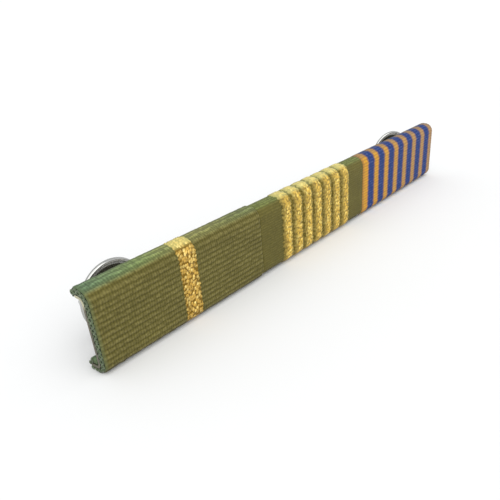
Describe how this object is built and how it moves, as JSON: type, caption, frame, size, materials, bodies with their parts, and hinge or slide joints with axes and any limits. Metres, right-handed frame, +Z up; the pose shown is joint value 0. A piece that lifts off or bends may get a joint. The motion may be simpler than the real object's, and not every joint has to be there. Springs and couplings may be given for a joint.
{
  "type": "ribbon bar",
  "caption": "Straight ribbon bar: three cloth ribbons wrapped side by side round a bent sheet-metal carrier, with pins and butterfly clutches behind it.",
  "frame": {"origin": "on the surface the bar stands on, under the middle of the whole object, clutches included", "axes": "+X along the bar towards the striped ribbon, +Y from the ribbons' faces to the clutches, +Z up from the lower edge to the upper edge"},
  "size_m": [0.105, 0.013, 0.0134],
  "materials": {
    "carrier_steel": "bright rolled sheet, slightly yellowed at the cut edge",
    "ribbed_cloth": "coarse ribbed grosgrain, olive green with one metallic gold stripe",
    "corded_cloth": "smooth olive weave with seven raised metallic gold cords",
    "striped_cloth": "fine twill in gold and blue stripes",
    "clutch_metal": "bright nickel plating",
    "spring_metal": "bright nickel plating"
  },
  "bodies": {
    "bar": {"carrier": "carrier_steel", "ribbon_ribbed": "ribbed_cloth", "ribbon_corded": "corded_cloth", "ribbon_striped": "striped_cloth"},
    "clutch_left": {"clutch_cup_left": "clutch_metal", "clutch_spring_left": "spring_metal"},
    "clutch_right": {"clutch_cup_right": "clutch_metal", "clutch_spring_right": "spring_metal"}
  },
  "joints": [
    {"name": "clutch_left_pull", "type": "slide", "parent": "bar", "child": "clutch_left", "axis": [0, 1, 0], "range_m": [-0.004, 0.006]},
    {"name": "clutch_right_pull", "type": "slide", "parent": "bar", "child": "clutch_right", "axis": [0.342, 0.9397, 0], "range_m": [-0.0023, 0.006]}
  ]
}
